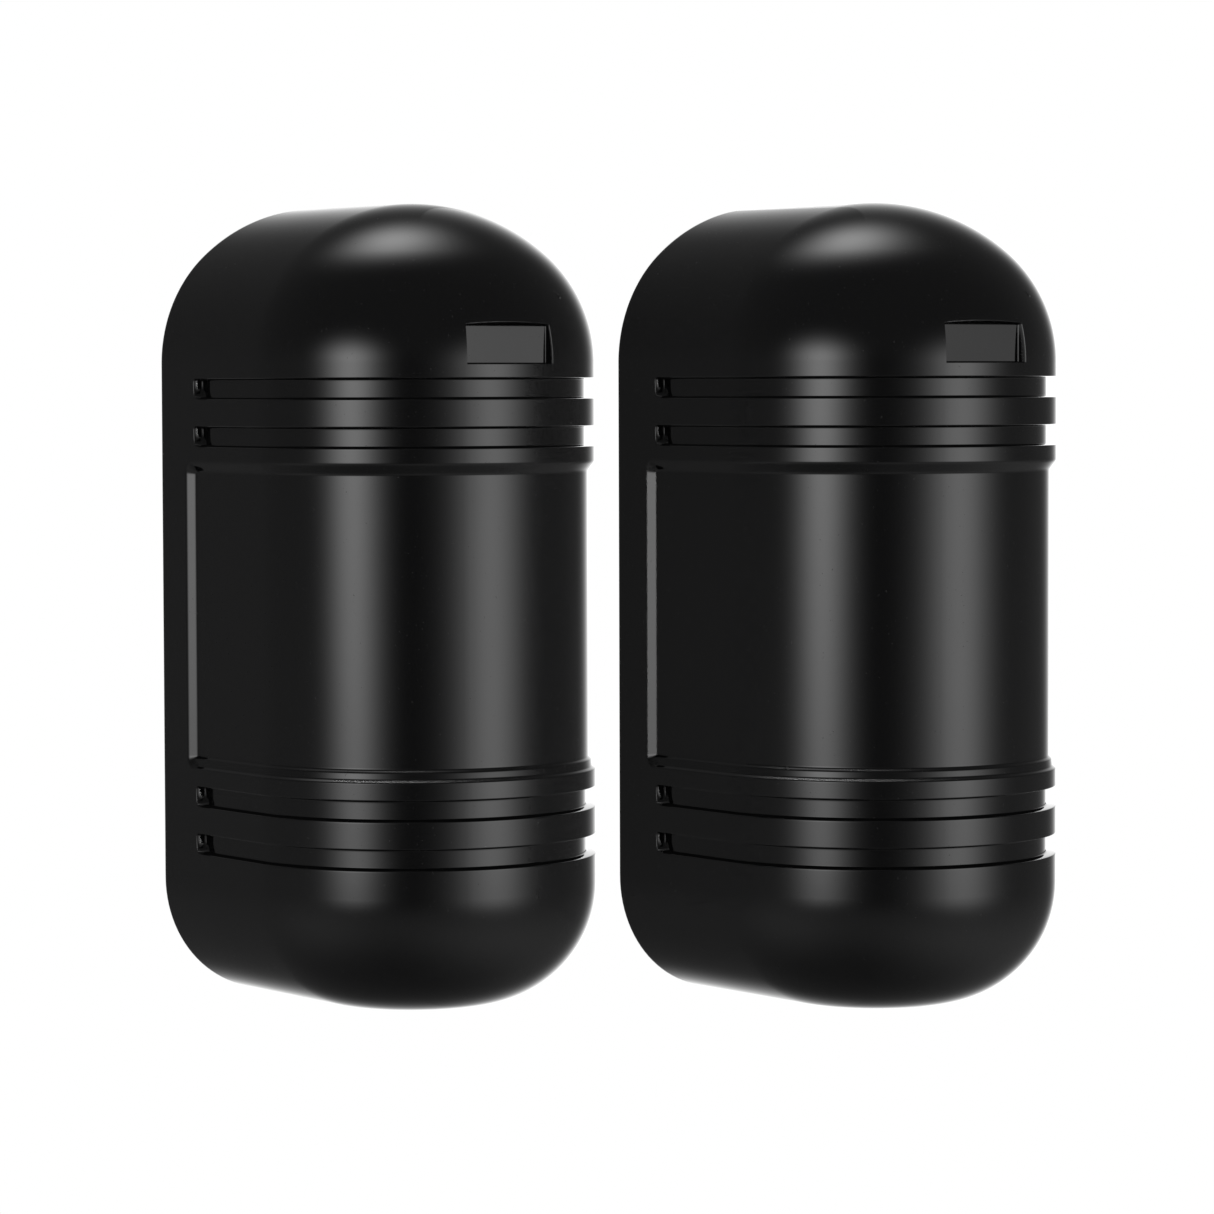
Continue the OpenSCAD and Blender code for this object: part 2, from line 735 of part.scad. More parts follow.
module receiver_cover() color(gloss_black) beside() unit_cover();
module receiver_cover_seal() color(rubber) beside() unit_cover_seal();
module receiver_cover_screw() color(steel) beside() unit_cover_screw();
module receiver_base() color(base_grey) beside() unit_base();
module receiver_wall_plate() color(steel) beside() unit_wall_plate();
module receiver_plate_screws() color(steel) beside() unit_plate_screws();
module receiver_cable_grommet() color(rubber) beside() unit_cable_grommet();
module receiver_yoke() color(yoke_white) beside() unit_yoke();
module receiver_lens_housing() color(housing_black) beside() unit_lens_housing();
module receiver_upper_lens() color(lens_tint) beside() unit_upper_lens();
module receiver_lower_lens() color(lens_tint) beside() unit_lower_lens();
module receiver_lens_rings() color(housing_black) beside() unit_lens_rings();
module receiver_sight_block() color(housing_black) beside() unit_sight_block();
module receiver_sight_mirrors() color(mirror) beside() unit_sight_mirrors();
module receiver_tilt_pins() color(steel) beside() unit_tilt_pins();
module receiver_tilt_wheel() color(brass) beside() unit_tilt_wheel();
module receiver_tilt_rod() color(steel) beside() unit_tilt_rod();
module receiver_beam_board() color(pcb_green) beside() unit_beam_board();
module receiver_beam_diodes() color(led_clear) beside() unit_beam_diodes();
module receiver_main_board() color(pcb_green) beside() unit_main_board();
module receiver_board_screws() color(steel) beside() unit_board_screws();
module receiver_terminal_block() color(terminal_white) beside() unit_terminal_block();
module receiver_terminal_screws() color(steel) beside() unit_terminal_screws();
module receiver_tamper_switch() color(chip_black) beside() unit_tamper_switch();
module receiver_tamper_plunger() color(terminal_white) beside() unit_tamper_plunger();
module receiver_channel_switch() color(switch_blue) beside() unit_channel_switch();
module receiver_channel_slider() color(terminal_white) beside() unit_channel_slider();
module receiver_indicator_leds() color(led_red) beside() unit_indicator_leds();
module receiver_board_chips() color(chip_black) beside() unit_board_chips();
module receiver_response_pot() color(switch_blue) beside() unit_response_pot();
module receiver_response_rotor() color(terminal_white) beside() unit_response_rotor();

// ---- nodes ------------------------------------------------------------

transmitter_cover();
transmitter_cover_seal();
transmitter_cover_screw();
transmitter_base();
transmitter_wall_plate();
transmitter_plate_screws();
transmitter_cable_grommet();
transmitter_yoke();
transmitter_lens_housing();
transmitter_upper_lens();
transmitter_lower_lens();
transmitter_lens_rings();
transmitter_sight_block();
transmitter_sight_mirrors();
transmitter_tilt_pins();
transmitter_tilt_wheel();
transmitter_tilt_rod();
transmitter_beam_board();
transmitter_beam_diodes();
transmitter_main_board();
transmitter_board_screws();
transmitter_terminal_block();
transmitter_terminal_screws();
transmitter_tamper_switch();
transmitter_tamper_plunger();
transmitter_channel_switch();
transmitter_channel_slider();
transmitter_indicator_leds();
transmitter_board_chips();
receiver_cover();
receiver_cover_seal();
receiver_cover_screw();
receiver_base();
receiver_wall_plate();
receiver_plate_screws();
receiver_cable_grommet();
receiver_yoke();
receiver_lens_housing();
receiver_upper_lens();
receiver_lower_lens();
receiver_lens_rings();
receiver_sight_block();
receiver_sight_mirrors();
receiver_tilt_pins();
receiver_tilt_wheel();
receiver_tilt_rod();
receiver_beam_board();
receiver_beam_diodes();
receiver_main_board();
receiver_board_screws();
receiver_terminal_block();
receiver_terminal_screws();
receiver_tamper_switch();
receiver_tamper_plunger();
receiver_channel_switch();
receiver_channel_slider();
receiver_indicator_leds();
receiver_board_chips();
receiver_response_pot();
receiver_response_rotor();
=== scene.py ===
import json
import math

import bmesh
import bpy
import numpy as np
from mathutils import Matrix, Vector

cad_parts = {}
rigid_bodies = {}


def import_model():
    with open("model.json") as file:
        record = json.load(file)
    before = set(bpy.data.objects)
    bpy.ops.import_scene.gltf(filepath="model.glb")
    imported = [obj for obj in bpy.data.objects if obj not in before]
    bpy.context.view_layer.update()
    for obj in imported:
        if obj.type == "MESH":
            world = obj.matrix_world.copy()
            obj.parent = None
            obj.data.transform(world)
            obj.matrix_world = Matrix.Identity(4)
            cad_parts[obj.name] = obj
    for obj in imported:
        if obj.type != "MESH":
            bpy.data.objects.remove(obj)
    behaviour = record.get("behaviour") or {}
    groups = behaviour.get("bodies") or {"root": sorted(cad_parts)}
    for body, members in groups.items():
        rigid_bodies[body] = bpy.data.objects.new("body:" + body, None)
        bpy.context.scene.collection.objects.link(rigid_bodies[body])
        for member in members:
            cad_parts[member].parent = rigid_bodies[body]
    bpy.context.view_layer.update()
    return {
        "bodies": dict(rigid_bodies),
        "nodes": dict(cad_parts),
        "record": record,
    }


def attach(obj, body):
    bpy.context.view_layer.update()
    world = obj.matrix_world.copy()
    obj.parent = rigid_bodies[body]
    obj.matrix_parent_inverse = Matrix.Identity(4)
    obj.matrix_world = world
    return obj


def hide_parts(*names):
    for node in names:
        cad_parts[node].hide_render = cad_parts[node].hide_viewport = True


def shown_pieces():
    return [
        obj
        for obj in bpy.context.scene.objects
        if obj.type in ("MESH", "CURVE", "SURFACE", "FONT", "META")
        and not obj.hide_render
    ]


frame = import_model()
NODES = frame["nodes"]
MM = 0.001
UNITS = {"transmitter": (0.0, 0.0), "receiver": (80.5, -57.0)}

# ---- sizes of the cover, in mm, as in the CAD --------------------------------
H, W, DEPTH = 171.0, 78.0, 80.0
R, ZT, ZB = W / 2, H / 2, -H / 2
AXIS_Y, RIM = -(DEPTH - W / 2), -1.5
TOP_RISE, BOTTOM_R = 34.0, 26.0
TOP_R = TOP_RISE - 3
TOP_S = R - TOP_R
CROWN_R = (TOP_S ** 2 + TOP_RISE ** 2 - TOP_R ** 2) / (2 * (TOP_RISE - TOP_R))
GROOVES = [(44.1, 48.2), (33.95, 38.05), (-43.15, -39.05), (-53.3, -49.2)]
GROOVE_D, GROOVE_END = 2.1, RIM - 14.0
WIN_HI, WIN_LO, WIN_D, WIN_SLOPE, WIN_END = 30.5, -35.1, 1.5, 2.0, RIM - 10.3
LABEL_W, LABEL_HI, LABEL_LO, LABEL_D, LABEL_SLOPE = 21.0, 60.3, 51.3, 3.4, 1.2
WALL, BAND_WALL, WIN_IN, SEAT_Y = 2.4, 4.4, 35.2, -14.5
SCREW_Y = AXIS_Y + 11
POST_X, POST_Y, POST_Z, POST_L = 14.0, -73.0, ZT - 21.5, 48.1

# ---- finer sizes that only the visual cover has, in mm -----------------------
GROOVE_EDGE, WALL_RUN = 0.16, 0.12      # rounding of a groove's edges, and how far its wall leans
GROOVE_TURN, WIN_TURN = 2.05, 2.6       # corner radii where a groove and the window end at the rear
WIN_ROUND, LABEL_ROUND = 0.35, 0.06     # rounding of the window's and the recess's edges
LABEL_EDGE = math.asin(LABEL_W / 2 / 38.4)   # angle from the front to the end walls of the recess
FRONT_FIT = (R - 0.02) / R   # keeps the front inside the CAD box, whose facets end short of the true arc
ON_ARC, ON_SIDE = -150.0, 9.0   # Y given for a point on the arc, and angle given for one on a side

# ---- camera ------------------------------------------------------------------
cam_data = bpy.data.cameras.new("camera")
cam = bpy.data.objects.new("camera", cam_data)
bpy.context.scene.collection.objects.link(cam)
bpy.context.scene.camera = cam
CAM_POS = Vector((-0.5349, -0.8659, 0.04716))
CAM_YAW, CAM_PITCH, CAM_ROLL = 35.381, 2.794, -0.178
cam_data.sensor_width = 36
cam_data.lens = 136.03
cam_data.clip_start, cam_data.clip_end = 0.01, 50
yaw, pitch = math.radians(CAM_YAW), math.radians(CAM_PITCH)
fwd = Vector((math.sin(yaw) * math.cos(pitch), math.cos(yaw) * math.cos(pitch), -math.sin(pitch)))
cam.matrix_world = (Matrix.Translation(CAM_POS) @ fwd.to_track_quat("-Z", "Y").to_matrix().to_4x4()
                    @ Matrix.Rotation(math.radians(CAM_ROLL), 4, "Z"))

# ---- mesh helpers ------------------------------------------------------------


def new_object(name, verts, faces, smooth=True):
    me = bpy.data.meshes.new(name)
    me.from_pydata([tuple(v) for v in verts], [], faces)
    me.update()
    ob = bpy.data.objects.new(name, me)
    bpy.context.scene.collection.objects.link(ob)
    if smooth:
        me.shade_smooth()
    return ob


def apply_modifiers(ob):
    bpy.context.view_layer.update()
    dg = bpy.context.evaluated_depsgraph_get()
    me = bpy.data.meshes.new_from_object(ob.evaluated_get(dg))
    ob.modifiers.clear()
    old = ob.data
    ob.data = me
    bpy.data.meshes.remove(old)
    return ob


def lathe(name, profile, n=64):
    """A closed solid turned about Z from (radius, height) points in mm, which start and end on the axis."""
    verts, faces = [], []
    rings = []
    for r, z in profile:
        if r == 0:
            rings.append([len(verts)])
            verts.append((0, 0, z * MM))
        else:
            rings.append(list(range(len(verts), len(verts) + n)))
            turns = [2 * math.pi * k / n for k in range(n)]
            verts += [(r * MM * math.cos(t), r * MM * math.sin(t), z * MM) for t in turns]
    for a, b in zip(rings, rings[1:]):
        for k in range(n):
            m = (k + 1) % n
            quad = [a[k % len(a)], a[m % len(a)], b[m % len(b)], b[k % len(b)]]
            faces.append(list(dict.fromkeys(quad)))
    return tidy(new_object(name, verts, faces))


def extruded(name, outline, half_w, bevel=0.0):
    """A closed solid: a (y, z) outline in mm swept over x from -half_w to half_w."""
    n = len(outline)
    verts = [(s * half_w * MM, y * MM, z * MM) for s in (-1, 1) for y, z in outline]
    faces = [list(range(n))[::-1], list(range(n, 2 * n))]
    faces += [[k, (k + 1) % n, n + (k + 1) % n, n + k] for k in range(n)]
    ob = tidy(new_object(name, verts, faces))
    if bevel:
        b = ob.modifiers.new("bevel", "BEVEL")
        b.width, b.segments, b.limit_method = bevel * MM, 3, "NONE"
        apply_modifiers(ob)
    return ob


def tidy(ob):
    bm = bmesh.new()
    bm.from_mesh(ob.data)
    bmesh.ops.recalc_face_normals(bm, faces=bm.faces)
    bm.to_mesh(ob.data)
    bm.free()
    return ob


def combine(ob, tool, how):
    """Joins tool to ob or cuts it out, then removes it."""
    m = ob.modifiers.new("combine", "BOOLEAN")
    m.object, m.operation, m.solver = tool, how, "EXACT"
    apply_modifiers(ob)
    bpy.data.objects.remove(tool)


def sharpen(ob, where, angle=0.6):
    """Marks the edges at corners in a region as sharp."""
    bm = bmesh.new()
    bm.from_mesh(ob.data)
    for e in bm.edges:
        middle = (e.verts[0].co + e.verts[1].co) / 2
        if len(e.link_faces) == 2 and where(middle) and e.calc_face_angle(0) > angle:
            e.smooth = False
    bm.to_mesh(ob.data)
    bm.free()


def soft_step(d, width, e):
    """0 outside, rising to 1 over width inside an edge, with both ends rounded by e."""
    def sm(x):
        return np.where(x < -e, 0, np.where(x > e, x, (x + e) ** 2 / (4 * e)))
    return (sm(d) - sm(d - width)) / width


def inside_rect(a, b, a0, a1, b0, b1, r):
    """Distance inside a rectangle with corner radius r, negative outside."""
    qa = np.abs(a - (a0 + a1) / 2) - (a1 - a0) / 2 + r
    qb = np.abs(b - (b0 + b1) / 2) - (b1 - b0) / 2 + r
    out = np.hypot(np.maximum(qa, 0), np.maximum(qb, 0))
    return -(out + np.minimum(np.maximum(qa, qb), 0) - r)


def lines_near(edges, offsets):
    return [e + o for e in edges for o in offsets]


# ---- the cover ---------------------------------------------------------------


def profile_lines():
    """Rows of the cover from the top pole to the bottom pole: radius, height and normal."""
    rows = []
    alpha = math.atan2(CROWN_R - TOP_RISE, TOP_S)
    for k in range(26):
        a = math.pi / 2 + (alpha - math.pi / 2) * k / 26
        rows.append((CROWN_R * math.cos(a), ZT - CROWN_R + CROWN_R * math.sin(a), math.cos(a), math.sin(a)))
    zc = ZT - TOP_RISE
    betas = list(np.linspace(alpha, 0.0, 40)[:-1])
    for o in np.arange(-1.8, 0.41, 0.1):
        betas.append(math.asin((LABEL_HI + o - zc) / TOP_R))
    betas += [math.asin((LABEL_LO + o - zc) / TOP_R) for o in (0.22, 0.26, 0.3, 0.36, 0.5)]
    for b in sorted(betas, reverse=True):
        rows.append((TOP_S + TOP_R * math.cos(b), zc + TOP_R * math.sin(b), math.cos(b), math.sin(b)))
    zs = [zc, ZB + BOTTOM_R]
    zs += lines_near([z for g in GROOVES for z in g],
                     (-0.55, -0.3, -0.2, -0.12, -0.05, 0.03, 0.1, 0.18, 0.26, 0.36, 0.6))
    zs += lines_near([LABEL_LO], (-0.5, -0.3, -0.2, -0.14, -0.08, -0.02, 0.04, 0.1, 0.15))
    for s, z in ((-1, WIN_HI), (1, WIN_LO)):
        zs += [z + s * o for o in (-0.7, -0.4, -0.27, -0.14, -0.02, 0.1, 0.22, 0.34, 0.46, 0.58, 0.7, 1.1,
                                   1.5, 1.75, 1.86, 1.97, 2.08, 2.19, 2.3, 2.41, 2.52, 2.64, 2.9, 3.4)]
    zs += [z for g in GROOVES for z in (g[0] + 1.1, g[0] + GROOVE_TURN, g[0] + 3.0)]
    zs += list(np.arange(-27.0, 24.0, 6.0))
    zs = sorted(set(round(z, 3) for z in zs), reverse=True)
    zs = [z for i, z in enumerate(zs) if i == 0 or zs[i - 1] - z > 0.03 or z in (zc, ZB + BOTTOM_R)]
    rows += [(R, z, 1.0, 0.0) for z in zs if z <= zc]
    for k in range(1, 27):
        a = -math.pi / 2 * k / 26
        r, z = R - BOTTOM_R + BOTTOM_R * math.cos(a), ZB + BOTTOM_R + BOTTOM_R * math.sin(a)
        rows.append((r, z, math.cos(a), math.sin(a)))
    for r in (8.0, 5.0, 2.0, 0.0):
        rows.append((r, ZB, 0.0, -1.0))
    return np.array(rows)


def cover_depth(y, z, r, theta):
    """How far the grooves, the window and the label recess go in. theta is the angle from the front."""
    far = -200.0   # the grooves and the window run on past the front
    depth = np.zeros_like(z)
    for g0, g1 in GROOVES:
        inside = inside_rect(y, z, far, GROOVE_END, g0, g1, 0.35)
        turn = GROOVE_TURN - np.hypot(y - GROOVE_END + GROOVE_TURN, z - g0 - GROOVE_TURN)
        corner = (y > GROOVE_END - GROOVE_TURN) & (z < g0 + GROOVE_TURN)
        inside = np.where(corner, np.minimum(inside, turn), inside)
        depth = np.maximum(depth, GROOVE_D * soft_step(inside + 0.06, WALL_RUN, GROOVE_EDGE))
    inside = inside_rect(y, z, far, WIN_END, far, WIN_HI, WIN_TURN)
    # the lower rear corner is rounded too, and the lower edge comes out in two steps with a land between
    end, up = WIN_END - y, z - WIN_LO
    corner = (end < WIN_TURN) & (up < WIN_TURN)
    inside = np.minimum(inside, np.where(corner, WIN_TURN - np.hypot(WIN_TURN - end, WIN_TURN - up), 9.0))
    lower = (0.5 * soft_step(up + 0.1, 0.55, 0.12) + 0.1 * soft_step(up - 0.45, 1.5, 0.1)
             + 0.4 * soft_step(up - 1.95, 0.55, 0.12))
    depth = np.maximum(depth, WIN_D * np.minimum(soft_step(inside, WIN_SLOPE, WIN_ROUND), lower))
    # the recess has a flat floor, a slope at the top and a lower and two end walls
    inside = np.minimum((LABEL_EDGE - np.abs(theta)) * R, z - LABEL_LO)
    slope = np.maximum(0.0, z - LABEL_HI + LABEL_SLOPE) * LABEL_D / LABEL_SLOPE
    floor = np.maximum(0.0, r - (R - LABEL_D + slope) / np.maximum(np.cos(theta), 0.2))
    label = floor * soft_step(inside + 0.06, WALL_RUN, LABEL_ROUND)
    front = np.abs(theta) < 0.6
    return np.where(front, np.maximum(depth, label), depth)


def cover_columns():
    """Columns of the outer surface: straight left side, half circle round the pan axis, right side.
    Each is (kind, value, inset): a Y on a side, or an angle from the front on the arc."""
    ys = [RIM - 1.2, RIM - 5, RIM - 9, RIM - 11]
    ys += list(np.arange(WIN_END + 0.5, WIN_END - 2.7, -0.16))
    ys += [WIN_END - 3.0]
    ys += lines_near([GROOVE_END], (0.45, 0.26, 0.14, 0.05, -0.04, -0.12, -0.2, -0.32))
    ys += [GROOVE_END - k for k in (1.4, 1.75, GROOVE_TURN, 2.35, 2.8, 3.5)]
    ys += [AXIS_Y + k for k in (20, 16, 12, 8, 4)]
    ys = sorted(set(round(y, 3) for y in ys), reverse=True)
    side = [(RIM, 0.5), (RIM - 0.06, 0.22), (RIM - 0.2, 0.06), (RIM - 0.5, 0.0)] + [(y, 0.0) for y in ys]
    th = list(np.radians(np.arange(-90, 90.01, 1.5)))
    near = (0.0006, 0.0014, 0.0022, 0.003, 0.0038, 0.006, 0.012)
    th += [s * (LABEL_EDGE + t * o) for s in (-1, 1) for t in (-1, 1) for o in near]
    arc = [("A", t, 0.0) for t in sorted(th)]
    return [("L", y, i) for y, i in side] + arc + [("R", y, i) for y, i in reversed(side)]


def outer_points(rows, cols):
    """Points of the outside, column by column, in mm."""
    pts = np.zeros((len(cols), len(rows), 3))
    r0, z0, nr, nz = rows.T
    for i, (kind, val, inset) in enumerate(cols):
        r = r0 - inset * nr
        z = z0 - inset * nz
        r = np.maximum(r, 0)
        if kind == "A":
            d = cover_depth(np.full_like(z, ON_ARC), z, r, np.full_like(z, val))
            rr = np.maximum(r - d, 0)
            pts[i, :, 0] = rr * math.sin(val)
            pts[i, :, 1] = AXIS_Y - rr * math.cos(val) * FRONT_FIT
        else:
            d = cover_depth(np.full_like(z, val), z, r, np.full_like(z, ON_SIDE))
            s = -1 if kind == "L" else 1
            pts[i, :, 0] = s * np.maximum(r - d, 0)
            pts[i, :, 1] = val
        pts[i, :, 2] = z
    return pts


def inner_points(rows, cols):
    """Points of the inside, a wall's thickness in. Behind the seat the wall follows the outside, and in
    front of it the band's inner face stands further in."""
    pts = np.zeros((len(cols), len(rows), 3))
    r0, z0, nr, nz = rows.T
    r2, z2 = np.maximum(r0 - WALL * nr, 0), z0 - WALL * nz
    band = np.where((z2 < WIN_HI - 3.5) & (z2 > WIN_LO + 3.5), WIN_IN, R - BAND_WALL)
    for i, (kind, val, rear) in enumerate(cols):
        r = r2 if rear else np.minimum(r2, band)
        if kind == "A":
            pts[i, :, 0] = r * math.sin(val)
            pts[i, :, 1] = AXIS_Y - r * math.cos(val)
        else:
            pts[i, :, 0] = (-1 if kind == "L" else 1) * r
            pts[i, :, 1] = val
        pts[i, :, 2] = z2
    return pts


def build_cover(unit):
    """The shell of one cover, with its screw boss, screw hole, hook tab and tamper post."""
    ox, oy = UNITS[unit]
    rows = profile_lines()
    cols = cover_columns()
    out = outer_points(rows, cols)
    icols = [("L", RIM, 1), ("L", RIM - 0.6, 1), ("L", -8.0, 1), ("L", SEAT_Y + 0.15, 1), ("L", SEAT_Y, 0),
             ("L", SEAT_Y - 0.5, 0), ("L", -28.0, 0)]
    icols += [("A", t, 0) for t in np.radians(np.arange(-90, 90.01, 5))]
    icols += [("R", v, k) for _, v, k in reversed(icols[:7])]
    inn = inner_points(rows, icols)
    nv = len(rows)
    verts = np.vstack([out.reshape(-1, 3), inn.reshape(-1, 3)])
    base = len(cols) * nv
    faces = []
    for i in range(len(cols) - 1):
        for j in range(nv - 1):
            a = i * nv + j
            faces.append((a, a + 1, a + nv + 1, a + nv))
    for i in range(len(icols) - 1):
        for j in range(nv - 1):
            a = base + i * nv + j
            faces.append((a, a + nv, a + nv + 1, a + 1))
    last_o, last_i = (len(cols) - 1) * nv, base + (len(icols) - 1) * nv
    for j in range(nv - 1):
        faces.append((j, base + j, base + j + 1, j + 1))
        faces.append((last_o + j, last_o + j + 1, last_i + j + 1, last_i + j))
    n_outer = (len(cols) - 1) * (nv - 1)
    ob = new_object(unit + "_cover_shell", (verts + np.array([ox, oy, 0])) * MM, faces)
    bm = bmesh.new()
    bm.from_mesh(ob.data)
    bm.faces.ensure_lookup_table()
    for f in list(bm.faces)[n_outer:]:
        for e in f.edges:
            if len(e.link_faces) == 2 and e.calc_face_angle(0) > 0.7:
                e.smooth = False
    bmesh.ops.remove_doubles(bm, verts=bm.verts, dist=2e-6)
    bmesh.ops.recalc_face_normals(bm, faces=bm.faces)
    bm.to_mesh(ob.data)
    bm.free()
    at = Vector((ox, oy, 0)) * MM
    screw_at = at + Vector((0, SCREW_Y, 0)) * MM
    boss = lathe("boss", [(0, ZB + 1), (5.7, ZB + 1), (6, ZB + 1.3), (6, ZB + 5.0), (5.6, ZB + 5.4),
                          (0, ZB + 5.4)])
    boss.location = screw_at
    combine(ob, boss, "UNION")
    hole = lathe("hole", [(0, ZB - 2), (4.1, ZB - 2), (4.1, ZB), (3.8, ZB + 0.3), (3.8, ZB + 3),
                          (2.25, ZB + 3), (2.25, ZB + 7), (0, ZB + 7)])
    hole.location = screw_at
    combine(ob, hole, "DIFFERENCE")
    tab_y, tab_low, tab_step, tab_top = AXIS_Y + 14, ZT - 7.3, ZT - WALL - 3.0, ZT - WALL + 0.4
    tab = extruded("tab", [(tab_y, tab_low), (-8, tab_low), (-8, tab_step), (SEAT_Y - 1, tab_step),
                           (SEAT_Y - 1, tab_top), (tab_y, tab_top)], 8, 0.4)
    tab.location = at
    combine(ob, tab, "UNION")
    post = lathe("post", [(0, 0), (2.5, 0), (2.5, POST_L - 0.4), (2.1, POST_L), (0, POST_L)])
    post.rotation_euler = (-math.pi / 2, 0, 0)
    post_at = at + Vector((POST_X, POST_Y, POST_Z)) * MM
    post.location = post_at
    combine(ob, post, "UNION")
    sharpen(ob, lambda p: math.hypot(p.x - at.x, p.y - screw_at.y) < 0.0066 and p.z < (ZB + 7) * MM)
    sharpen(ob, lambda p: abs(p.x - at.x) < 0.0085 and p.y > at.y + (tab_y - 1) * MM
            and (ZT - 8) * MM < p.z < (ZT - WALL + 0.1) * MM)
    sharpen(ob, lambda p: math.hypot(p.x - post_at.x, p.z - post_at.z) < 0.0032 and p.y > at.y - 0.0727)
    return ob


# ---- materials ---------------------------------------------------------------


class Shade:
    """A node material in the making. Texture sizes are in mm on the piece itself."""

    def __init__(self, name, metallic=0.0, **fixed):
        self.mat = bpy.data.materials.new(name)
        self.mat.use_nodes = True
        self.tree = self.mat.node_tree
        self.bsdf = self.tree.nodes["Principled BSDF"]
        self.bsdf.inputs["Metallic"].default_value = metallic
        for key, value in fixed.items():
            self.bsdf.inputs[key.replace("_", " ")].default_value = value
        self.place = self.node("ShaderNodeTexCoord").outputs["Object"]

    def node(self, kind, inputs=(), **props):
        n = self.tree.nodes.new(kind)
        for key, value in props.items():
            setattr(n, key, value)
        for key, value in dict(inputs).items():
            self.put(n.inputs[key], value)
        return n

    def put(self, socket, value):
        if isinstance(value, bpy.types.NodeSocket):
            self.tree.links.new(value, socket)
        else:
            socket.default_value = value

    def math(self, how, a, b=0.0, c=0.0):
        return self.node("ShaderNodeMath", {0: a, 1: b, 2: c}, operation=how).outputs[0]

    def stretched(self, x, y, z):
        return self.node("ShaderNodeMapping", {"Vector": self.place, "Scale": (x, y, z)}).outputs[0]

    def noise(self, size, detail=3.0, place=None):
        ins = {"Vector": place or self.place, "Scale": 1000.0 / size, "Detail": detail, "Roughness": 0.55}
        return self.node("ShaderNodeTexNoise", ins).outputs["Fac"]

    def cells(self, size, output="Distance", place=None, **props):
        ins = {"Vector": place or self.place, "Scale": 1000.0 / size}
        return self.node("ShaderNodeTexVoronoi", ins, **props).outputs[output]

    def span(self, fac, lo, hi, to_lo=0.0, to_hi=1.0):
        ins = {"Value": fac, "From Min": lo, "From Max": hi, "To Min": to_lo, "To Max": to_hi}
        return self.node("ShaderNodeMapRange", ins, interpolation_type="SMOOTHSTEP").outputs[0]

    def blend(self, fac, a, b):
        n = self.node("ShaderNodeMix", data_type="RGBA")
        self.put(n.inputs[0], fac)
        for socket, value in ((n.inputs[6], a), (n.inputs[7], b)):
            self.put(socket, value if isinstance(value, bpy.types.NodeSocket) else (*value, 1))
        return n.outputs[2]

    def relief(self, *layers):
        """layers are (height, depth in mm), the finest last."""
        normal = None
        for height, depth in layers:
            ins = {"Height": height, "Strength": 1.0, "Distance": depth * MM}
            if normal:
                ins["Normal"] = normal
            normal = self.node("ShaderNodeBump", ins).outputs[0]
        self.put(self.bsdf.inputs["Normal"], normal)

    def finish(self, color, rough):
        self.put(self.bsdf.inputs["Base Color"], color)
        self.put(self.bsdf.inputs["Roughness"], rough)
        return self.mat


def cover_gloss():
    s = Shade("cover_gloss", IOR=1.5)
    flow = s.noise(38.0, 2.0)
    smear = s.noise(7.0, 5.0, s.stretched(1.0, 1.0, 0.35))
    dust = s.span(s.noise(0.55, 1.0), 0.735, 0.78)
    color = s.blend(flow, (0.0020, 0.0020, 0.0022), (0.0030, 0.0030, 0.0031))
    color = s.blend(s.math("MULTIPLY", dust, 0.5), color, (0.02, 0.0195, 0.019))
    s.relief((flow, 0.05), (s.noise(2.4, 2.0), 0.0022))
    rough = s.math("ADD", s.span(smear, 0.35, 0.75, 0.05, 0.10), s.math("MULTIPLY", dust, 0.25))
    return s.finish(color, rough)


def seal_rubber():
    s = Shade("seal_rubber")
    fine = s.noise(0.35, 4.0)
    bloom = s.noise(6.0, 4.0)
    s.relief((bloom, 0.03), (fine, 0.02))
    color = s.blend(s.span(bloom, 0.35, 0.75), (0.014, 0.014, 0.014), (0.032, 0.031, 0.03))
    return s.finish(color, s.span(fine, 0.3, 0.7, 0.62, 0.82))


def zinc_steel():
    s = Shade("zinc_steel", metallic=1.0)
    spangle = s.cells(2.6, "Color")
    lines = s.noise(0.25, 3.0, s.stretched(0.06, 1.0, 1.0))
    stain = s.noise(9.0, 5.0)
    grey = s.node("ShaderNodeRGBToBW", {0: spangle}).outputs[0]
    color = s.blend(grey, (0.53, 0.54, 0.55), (0.68, 0.68, 0.66))
    color = s.blend(s.span(stain, 0.56, 0.74, 0.0, 0.55), color, (0.45, 0.41, 0.33))
    s.relief((lines, 0.006), (s.noise(0.8, 3.0), 0.006))
    rough = s.math("ADD", s.span(lines, 0.3, 0.7, 0.22, 0.36), s.span(stain, 0.5, 0.8, 0.0, 0.18))
    return s.finish(color, rough)


def moulded(name, dark, light, rough, grain=0.45, depth=0.012):
    """Injection-moulded plastic with a spark-eroded grain, flow marks and rubbed high spots."""
    s = Shade(name, IOR=1.5)
    spark = s.noise(grain, 3.0)
    flow = s.noise(14.0, 4.0, s.stretched(1.0, 0.6, 0.3))
    rub = s.span(s.noise(4.5, 6.0), 0.58, 0.72)
    s.relief((flow, 0.03), (spark, depth))
    matt = s.span(spark, 0.3, 0.7, rough - 0.05, rough + 0.08)
    matt = s.math("SUBTRACT", matt, s.math("MULTIPLY", rub, 0.09))
    return s.finish(s.blend(s.span(flow, 0.3, 0.7), dark, light), matt)


def lens_clear():
    s = Shade("lens_clear", IOR=1.49, Transmission_Weight=0.96)
    scratch = s.span(s.noise(0.5, 2.0, s.stretched(1.0, 1.0, 0.05)), 0.62, 0.7)
    haze = s.noise(5.0, 4.0)
    s.relief((s.noise(11.0, 2.0), 0.004))
    return s.finish(s.blend(haze, (0.93, 0.95, 0.97), (0.97, 0.975, 0.98)),
                    s.math("ADD", s.span(haze, 0.3, 0.8, 0.01, 0.05), s.math("MULTIPLY", scratch, 0.08)))


